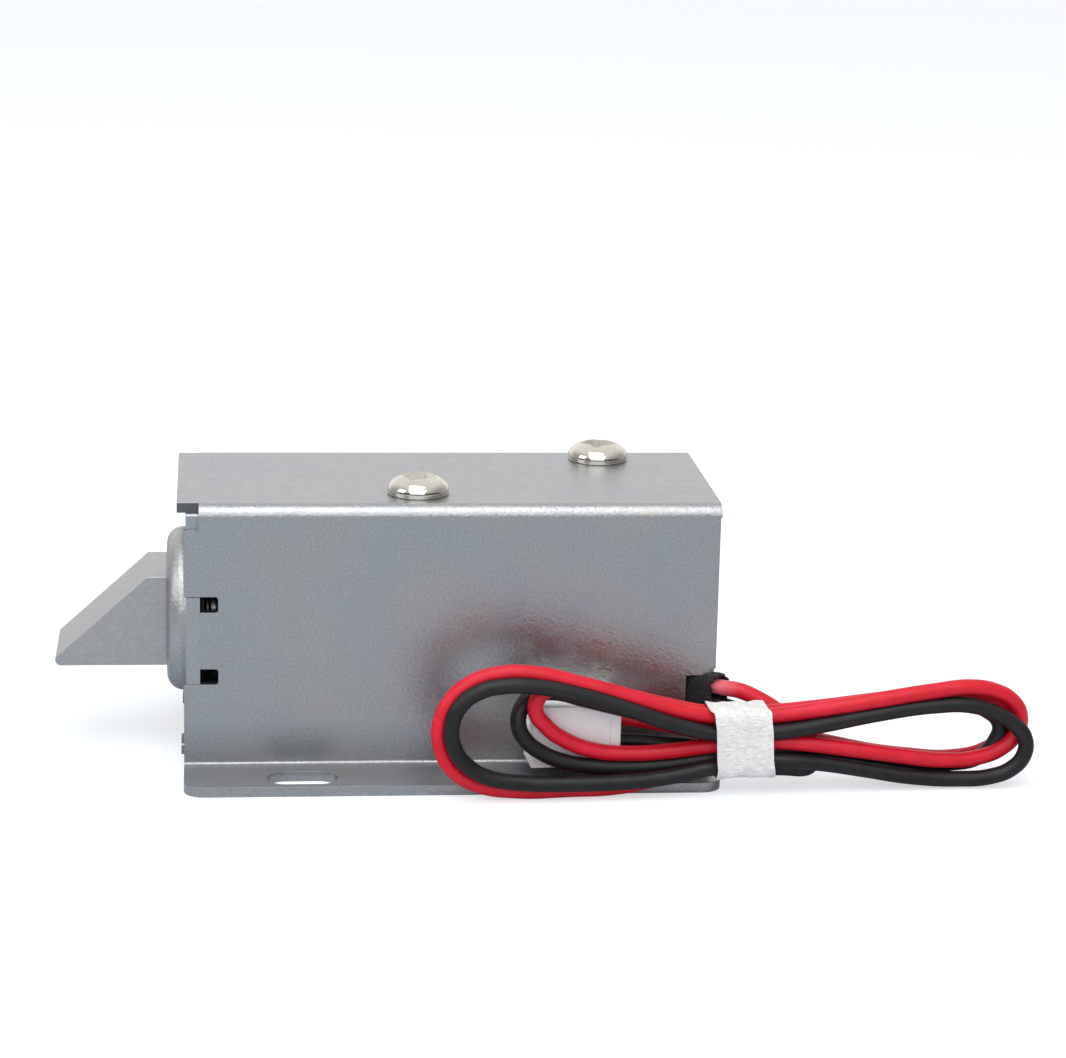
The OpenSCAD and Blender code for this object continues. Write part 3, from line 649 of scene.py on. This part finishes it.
# %% Paper tie
tie_middle = in_hank(28.35, 1.0, 5.4)
tie_half_depth = 2.4 * mm
tie_half_height = 3.6 * mm
tie_width = 5.9 * mm
tie_rows = 24
front_corner = 0.38
back_corner = 0.6

tie = tube("paper_tie", 72, tie_width, tie_rows)


def squared(value, power):
    """Keeps the sign and bends a circle's coordinate towards a square's."""
    return math.copysign(abs(value) ** power, value)


for point in tie.data.vertices:
    along, across, up = point.co
    edge = abs(along / tie_width - 0.5) * 2
    ripple = math.sin(across * 7 + along / mm * 2.1) * 0.04 * mm
    ripple += math.sin(up * 9 + along / mm * 3.7) * 0.03 * mm
    belly = 1 + 0.02 * edge * edge
    corner = front_corner if across < 0 else back_corner
    point.co.y = squared(across, corner) * tie_half_depth * belly + ripple
    point.co.z = squared(up, corner) * tie_half_height * belly + ripple
    lean = (0.25 * (1 - up * up) - 0.35 * up) * mm if along < tie_width / 2 else -0.45 * up * mm
    point.co.x += lean + math.sin(up * 5 + across * 3) * 0.08 * mm * edge
    point.co.x -= tie_width / 2
tie.data.update()
tie.matrix_world = Matrix.Translation(Vector(tie_middle) * mm) @ Matrix.Rotation(hank_turn, 4, "Z")
settle(tie)

crease_texture = bpy.data.textures.new("crepe", "CLOUDS")
crease_texture.noise_scale = 1.8 * mm
crease_texture.noise_depth = 3
modify(tie, "DISPLACE", texture=crease_texture, texture_coords="GLOBAL", strength=0.14 * mm, mid_level=0.5)
modify(tie, "SOLIDIFY", thickness=0.14 * mm, offset=1)
smooth(tie, 60)

paper = Finish("crepe_paper", (0.8, 0.8, 0.78), roughness=0.85)
fibres = paper.grain(0.5, detail=8, place=paper.stretched(1, 1, 2.2))
paper.tint(fibres, [(0.25, (0.7, 0.68, 0.67)), (0.5, (0.84, 0.82, 0.81)), (0.7, (0.92, 0.9, 0.9))])
paper.relief(fibres, 0.12)
paper.relief(paper.grain(0.15), 0.03)
tie.data.materials.append(paper.material)
print("tie", [round(v / mm, 1) for v in (tie_width, 2 * tie_half_depth, 2 * tie_half_height)], "mm")

# %% [markdown]
# ## The cloth sleeve
#
# Where the leads leave the case they pass through a scrap of black cloth sleeve. A short
# tube would do, but a cut sleeve flares and frays, so the rings at its outer end are
# pulled about, the cloth is ruffled by a displacement and the wall gets a thickness.

# %% Cloth sleeve
sleeve_from = Vector((24.3, -10.2, 7.95)) * mm
sleeve_turn = math.radians(-45)
sleeve_l = 4.2 * mm
sleeve_half_depth = 1.25 * mm
sleeve_half_height = 1.95 * mm
sleeve_rows = 14
ragged_from = 0.8
ragged_by = 0.35 * mm

sleeve = tube("cloth_sleeve", 56, sleeve_l, sleeve_rows)
for point in sleeve.data.vertices:
    along, across, up = point.co
    turn = math.atan2(up, across)
    end = max(0, along / sleeve_l - ragged_from) / (1 - ragged_from)
    point.co.x += end * ragged_by * math.sin(turn * 9) * math.sin(turn * 5 + 1)
    flare = 1 + 0.06 * end
    point.co.y = squared(across, 0.7) * sleeve_half_depth * flare
    point.co.z = squared(up, 0.6) * sleeve_half_height * flare
sleeve.data.update()
sleeve.matrix_world = Matrix.Translation(sleeve_from) @ Matrix.Rotation(sleeve_turn, 4, "Z")
settle(sleeve)
fray_texture = bpy.data.textures.new("fray", "CLOUDS")
fray_texture.noise_scale = 0.5 * mm
modify(sleeve, "DISPLACE", texture=fray_texture, texture_coords="GLOBAL", strength=0.35 * mm, mid_level=0.5)
modify(sleeve, "SOLIDIFY", thickness=0.22 * mm, offset=-1)
smooth(sleeve, 60)

thread_w = 0.16 * mm
cloth = Finish("black_cloth", (0.02, 0.02, 0.022), roughness=0.95)
threads = cloth.node("TexWave", wave_type="BANDS", bands_direction="DIAGONAL")
threads.inputs["Scale"].default_value = 0.31 / thread_w
threads.inputs["Distortion"].default_value = 6.0
cloth.link(cloth.place, threads.inputs["Vector"])
cloth.tint(threads.outputs["Fac"], [(0.2, (0.004, 0.004, 0.004)), (0.9, (0.02, 0.018, 0.017))])
cloth.relief(threads.outputs["Fac"], 0.04)
cloth.relief(cloth.grain(0.1, detail=4), 0.05)
cloth.shader.inputs["Sheen Weight"].default_value = 0.08
cloth.shader.inputs["Sheen Roughness"].default_value = 0.4
sleeve.data.materials.append(cloth.material)
print("sleeve", round(sleeve_l / mm, 1), "mm long")

# %% [markdown]
# ## The connector
#
# The white housing holds the two wires one above the other. It starts as a cube, gets
# a collar at the wire end by an extrusion, is cut in two storeys by a bisect, and each
# storey gets a passage: its two end faces are inset and then bridged through.

# %% Connector housing
plug_size = Vector((8.9, 4.9, 6.2)) * mm
collar_l = 1 * mm
collar_step = 0.25 * mm
body_l = plug_size.x - collar_l

plug = add("nylon_plug", "cube", size=1, location=(-collar_l - body_l / 2, 0, 0))
bpy.ops.transform.resize(value=(body_l, plug_size.y, plug_size.z))
settle(plug)
bpy.ops.object.mode_set(mode="EDIT")
select_faces(plug, lambda centre, normal: normal.x > 0.9)
bpy.ops.mesh.extrude_region_move(TRANSFORM_OT_translate={"value": (0, 0, 0)})
bpy.ops.transform.resize(value=(1, 1 + 2 * collar_step / plug_size.y, 1 + 2 * collar_step / plug_size.z))
bpy.ops.mesh.extrude_region_move(TRANSFORM_OT_translate={"value": (collar_l, 0, 0)})
bpy.ops.mesh.select_all(action="SELECT")
bpy.ops.mesh.bisect(plane_co=(0, 0, 0), plane_no=(0, 0, 1))
for end in (1, -1):
    select_faces(plug, lambda centre, normal: normal.x * end > 0.9 and abs(centre.y) < 0.1 * mm)
    bpy.ops.mesh.inset(thickness=0.6 * mm, use_individual=True)
    bpy.ops.transform.resize(value=(1, 0.55, 1))
for storey in (1, -1):
    select_faces(
        plug,
        lambda centre, normal: abs(normal.x) > 0.9
        and abs(centre.y) < 0.1 * mm
        and 1 * mm < centre.z * storey < 2 * mm,
    )
    bpy.ops.mesh.bridge_edge_loops()
bpy.ops.object.mode_set(mode="OBJECT")
modify(plug, "BEVEL", width=0.3 * mm, segments=3, limit_method="ANGLE", angle_limit=math.radians(40))
plug_middle = Vector((16.48, -15.88, 5.45)) * mm
plug.matrix_world = Matrix.Translation(plug_middle) @ Matrix.Rotation(hank_turn, 4, "Z")
settle(plug)
smooth(plug, 35)
plug.data.materials.append(connector_nylon)
print("connector", [round(v / mm, 1) for v in plug_size], "mm,", len(plug.data.polygons), "faces")

# %% [markdown]
# ## The cover screws
#
# Two pan-head screws with a cross recess hold the solenoid's frame under the top. Each
# head is one circle extruded and drawn in, ring by ring, along a dome that is a quarter
# of an ellipse. The recess is cut by a cross whose wings taper downwards, as the
# driver's do, and its walls are duller than the polished head, with a darker colour that is painted shade
# in the recess.

# %% Cover screws
head_r = 3.15 * mm
head_h = 2.0 * mm
rim_h = 0.4 * mm
rim_inset = 0.1 * mm
rim_rise = 0.08 * mm
shank_r = 1.5 * mm
shank_l = 3.4 * mm
wing_l = 3.7 * mm
wing_w = 0.72 * mm
recess_h = 1.15 * mm


def ring(step, wanted, now):
    """Extrudes the selected ring by a step up and resizes it from one radius to another."""
    bpy.ops.mesh.extrude_region_move(TRANSFORM_OT_translate={"value": (0, 0, step)})
    bpy.ops.transform.resize(value=(wanted / now, wanted / now, 1))


def screw_head(name):
    """Head and shank of one screw, standing on the origin."""
    screw = add(name, "circle", vertices=72, radius=shank_r, location=(0, 0, -shank_l), fill_type="NGON")
    bpy.ops.object.mode_set(mode="EDIT")
    bpy.ops.mesh.select_all(action="SELECT")
    ring(shank_l, shank_r, shank_r)
    ring(0, head_r - rim_inset, shank_r)
    ring(rim_rise, head_r, head_r - rim_inset)
    ring(rim_h - rim_rise, head_r, head_r)
    dome_h = head_h - rim_h
    steps = 12
    radius, height = head_r, 0
    for step in range(1, steps):
        angle = math.pi / 2 * step / steps
        next_r, next_h = head_r * math.cos(angle), dome_h * math.sin(angle)
        ring(next_h - height, next_r, radius)
        radius, height = next_r, next_h
    bpy.ops.object.mode_set(mode="OBJECT")
    settle(screw)
    return screw


def cross_cutter():
    """A cross-shaped plug that narrows downwards, at the top of the head."""
    cutter = add("cutter", "cube", size=1, location=(0, 0, head_h - recess_h / 2 + 0.2 * mm))
    bpy.ops.transform.resize(value=(wing_w, wing_w, recess_h + 0.4 * mm))
    settle(cutter)
    bpy.ops.object.mode_set(mode="EDIT")
    for side in (Vector((1, 0, 0)), Vector((-1, 0, 0)), Vector((0, 1, 0)), Vector((0, -1, 0))):
        select_faces(cutter, lambda centre, normal: normal.dot(side) > 0.9)
        bpy.ops.mesh.extrude_region_move(TRANSFORM_OT_translate={"value": side * (wing_l - wing_w) / 2})
    select_faces(cutter, lambda centre, normal: normal.z < -0.9)
    bpy.ops.transform.resize(value=(0.5, 0.5, 1))
    bpy.ops.object.mode_set(mode="OBJECT")
    return cutter


def cover_screw(name, place, turn):
    screw = screw_head(name)
    cutter = cross_cutter()
    modify(screw, "BOOLEAN", object=cutter, operation="DIFFERENCE", solver="EXACT")
    bpy.data.objects.remove(cutter)
    modify(screw, "BEVEL", width=0.05 * mm, segments=2, limit_method="ANGLE", angle_limit=math.radians(40))
    screw.matrix_world = Matrix.Translation(place) @ Matrix.Rotation(turn, 4, "Z")
    settle(screw)
    smooth(screw, 40)
    return screw


front_place = Vector((-3 * mm, -7 * mm, case_top))
back_place = Vector((16.9 * mm, 8.3 * mm, case_top))
front_screw = cover_screw("front_screw", front_place, math.radians(20))
back_screw = cover_screw("back_screw", back_place, math.radians(35))

# Painted shade: the recess walls get a darker nickel for the shade inside the cross.
recess_painted_shade = Finish("recess_nickel_painted_shade", (0.3, 0.28, 0.25), metallic=1.0)
recess_painted_shade.tint(recess_painted_shade.grain(0.5), [(0.3, (0.16, 0.15, 0.13)), (0.7, (0.34, 0.32, 0.28))])
recess_painted_shade.roughen(recess_painted_shade.grain(0.3), 0.25, 0.4)
nickel = Finish("bright_nickel", (0.78, 0.74, 0.66), metallic=1.0)
nickel.tint(nickel.grain(1.2), [(0.3, (0.74, 0.7, 0.61)), (0.7, (0.82, 0.79, 0.72))])
nickel.roughen(nickel.grain(0.4), 0.06, 0.12)
nickel.relief(nickel.grain(0.2), 0.003)
for screw, place in ((front_screw, front_place), (back_screw, back_place)):
    screw.data.materials.append(nickel.material)
    screw.data.materials.append(recess_painted_shade.material)
    for face in screw.data.polygons:
        out = math.hypot(face.center.x - place.x, face.center.y - place.y) / head_r
        dome = rim_h + (head_h - rim_h) * math.sqrt(max(0, 1 - out * out))
        face.material_index = int(out < 0.65 and dome - 0.3 * mm > face.center.z - case_top > 0.2 * mm)
print("screw heads", round(2 * head_r / mm, 2), "mm across")

# %% [markdown]
# ## The return spring
#
# The spring sits behind the bolt's shoulder and round the plunger. It is a helix whose
# turns lie closer towards both ends, drawn as a curve and then made a mesh.

# %% Return spring
spring_low, spring_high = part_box("return_spring")
axis_z = (spring_low.z + spring_high.z) / 2
wire_r = 0.35 * mm
coil_mean_r = (spring_high.z - spring_low.z) / 2 - wire_r
spring_turns = 7
end_crowding = 0.75
turn_points = 24


def spring_point(index):
    """A point of the helix, whose pitch is least at its ends."""
    part = index / (spring_turns * turn_points)
    closed = part - math.sin(2 * math.pi * part) / (2 * math.pi) * end_crowding
    x = spring_low.x + wire_r + (spring_high.x - spring_low.x - 2 * wire_r) * closed
    turn = 2 * math.pi * index / turn_points
    return (x / mm, coil_mean_r * math.cos(turn) / mm, (axis_z + coil_mean_r * math.sin(turn)) / mm)


spring_line = [spring_point(i) for i in range(spring_turns * turn_points + 1)]
spring = draw_wire("wound_spring", spring_line, 2 * wire_r)
spring.data.resolution_u = 2
nothing_selected()
spring.select_set(True)
bpy.context.view_layer.objects.active = spring
bpy.ops.object.convert(target="MESH")
spring = bpy.context.object
spring.data.materials.clear()
spring.data.materials.append(turned_metal("spring_steel", (0.52, 0.52, 0.54), 0.24))
smooth(spring, 60)
print("spring of", spring_turns, "turns")

# %% [markdown]
# ## What rides on what
#
# The case carries everything but the bolt. The spring's rear end rests on the
# solenoid's frame.

# %% Bodies
lead_pieces = (red_wire, black_wire, tie, sleeve, plug)
case_pieces = (front_screw, back_screw, spring, case_shell, base_shell, nose_shell)
for piece in lead_pieces + case_pieces:
    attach(piece, "lock_case")
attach(bolt_casting, "bolt")
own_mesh(spring)

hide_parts("red_lead", "lead_hank")
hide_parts("black_lead", "lead_hank")
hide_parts("lead_tie")
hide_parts("wire_sleeve")
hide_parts("connector_housing")
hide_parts("cover_screws")
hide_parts("cover_screws")
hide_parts("return_spring")
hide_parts("case_cover")
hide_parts("base_plate")
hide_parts("nose_plate")
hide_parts("latch_bolt")

# %% [markdown]
# ## Table and light
#
# The lock stands on a table that looks white, under soft studio light. Three lamps
# light it: a wide one in front, a small one overhead and a weak one at the left. The
# zinc shows what stands round it, so the table and the sky are made for its
# reflections. The table is a mid blue-grey, which gives the wall its tone. For glossy
# rays the sky brightens along the arc from the front horizon over the top to the rear,
# and falls off at both sides. For the camera alone the table is lifted and the sky is
# plain white, so the lock itself isn't overlit.

# %% Table
table_blue_grey = (0.53, 0.57, 0.62, 1)
camera_lift = 0.55
table = add("table", "plane", size=4, location=(0, 0, -0.02 * mm))
table_material = bpy.data.materials.new("table_white")
table_material.use_nodes = True
tree = table_material.node_tree
base = tree.nodes["Principled BSDF"]
base.inputs["Base Color"].default_value = table_blue_grey
base.inputs["Roughness"].default_value = 0.9
paths = tree.nodes.new("ShaderNodeLightPath")
lift = tree.nodes.new("ShaderNodeEmission")
lift_strength = tree.nodes.new("ShaderNodeMath")
lift_strength.operation = "MULTIPLY"
lift_strength.inputs[1].default_value = camera_lift
both = tree.nodes.new("ShaderNodeAddShader")
tree.links.new(paths.outputs["Is Camera Ray"], lift_strength.inputs[0])
tree.links.new(lift_strength.outputs[0], lift.inputs["Strength"])
tree.links.new(base.outputs[0], both.inputs[0])
tree.links.new(lift.outputs[0], both.inputs[1])
tree.links.new(both.outputs[0], tree.nodes["Material Output"].inputs["Surface"])
table.data.materials.append(table_material)
print("table ready")

# %% Sky and lamps
diffuse_sky = 0.62
sides_from = 0.5
sides_to = 0.9
sides_level = 0.45

world = bpy.data.worlds.new("studio")
bpy.context.scene.world = world
world.use_nodes = True
sky = world.node_tree
background = sky.nodes["Background"]
background.inputs["Color"].default_value = (1, 1, 1, 1)
sky_paths = sky.nodes.new("ShaderNodeLightPath")
seen = sky.nodes.new("ShaderNodeMath")
seen.operation = "MAXIMUM"
direction = sky.nodes.new("ShaderNodeTexCoord")
parts = sky.nodes.new("ShaderNodeSeparateXYZ")
forward = sky.nodes.new("ShaderNodeMath")
forward.operation = "MULTIPLY"
forward.inputs[1].default_value = -1
arc = sky.nodes.new("ShaderNodeMath")
arc.operation = "ARCTAN2"
share = sky.nodes.new("ShaderNodeMath")
share.operation = "DIVIDE"
share.inputs[1].default_value = math.pi
room = sky.nodes.new("ShaderNodeValToRGB")
room_levels = [(0.0, 0.1), (0.1, 0.14), (0.17, 0.6), (0.5, 0.8), (0.8, 0.9), (0.93, 1.0)]
set_stops(room, grey_stops(room_levels, blue=0.99))
lit = sky.nodes.new("ShaderNodeMix")
lit.inputs["A"].default_value = diffuse_sky
shown = sky.nodes.new("ShaderNodeMix")
shown.inputs["B"].default_value = 1.0
sky.links.new(direction.outputs["Generated"], parts.inputs[0])
sky.links.new(parts.outputs["Y"], forward.inputs[0])
sky.links.new(parts.outputs["Z"], arc.inputs[0])
sky.links.new(forward.outputs[0], arc.inputs[1])
sky.links.new(arc.outputs[0], share.inputs[0])
sky.links.new(share.outputs[0], room.inputs["Fac"])
aside = sky.nodes.new("ShaderNodeMath")
aside.operation = "ABSOLUTE"
dim = sky.nodes.new("ShaderNodeMapRange")
set_range(dim, sides_from, sides_to, 1.0, sides_level)
framed = sky.nodes.new("ShaderNodeMath")
framed.operation = "MULTIPLY"
sky.links.new(parts.outputs["X"], aside.inputs[0])
sky.links.new(aside.outputs[0], dim.inputs["Value"])
sky.links.new(room.outputs["Color"], framed.inputs[0])
sky.links.new(dim.outputs["Result"], framed.inputs[1])
sky.links.new(sky_paths.outputs["Is Glossy Ray"], lit.inputs["Factor"])
sky.links.new(framed.outputs[0], lit.inputs["B"])
sky.links.new(sky_paths.outputs["Is Camera Ray"], seen.inputs[0])
sky.links.new(sky_paths.outputs["Is Transmission Ray"], seen.inputs[1])
sky.links.new(seen.outputs[0], shown.inputs["Factor"])
sky.links.new(lit.outputs["Result"], shown.inputs["A"])
sky.links.new(shown.outputs["Result"], background.inputs["Strength"])


def lamp(name, place, size, power):
    """A square soft lamp that looks at the lock."""
    data = bpy.data.lights.new(name, "AREA")
    data.size = size
    data.energy = power
    made = bpy.data.objects.new(name, data)
    made.location = place
    aim = Vector((0, 0, 0.012)) - Vector(place)
    made.rotation_euler = aim.to_track_quat("-Z", "Y").to_euler()
    bpy.context.scene.collection.objects.link(made)
    return made


lamp("front_lamp", (-0.1, -0.78, 0.62), 1.05, 4.4)
lamp("overhead_lamp", (-0.06, -0.16, 0.55), 0.38, 0.9)
lamp("left_lamp", (-0.5, -0.15, 0.3), 0.3, 0.5)
bpy.context.scene.view_settings.view_transform = "Standard"
print("three lamps and a graded sky")
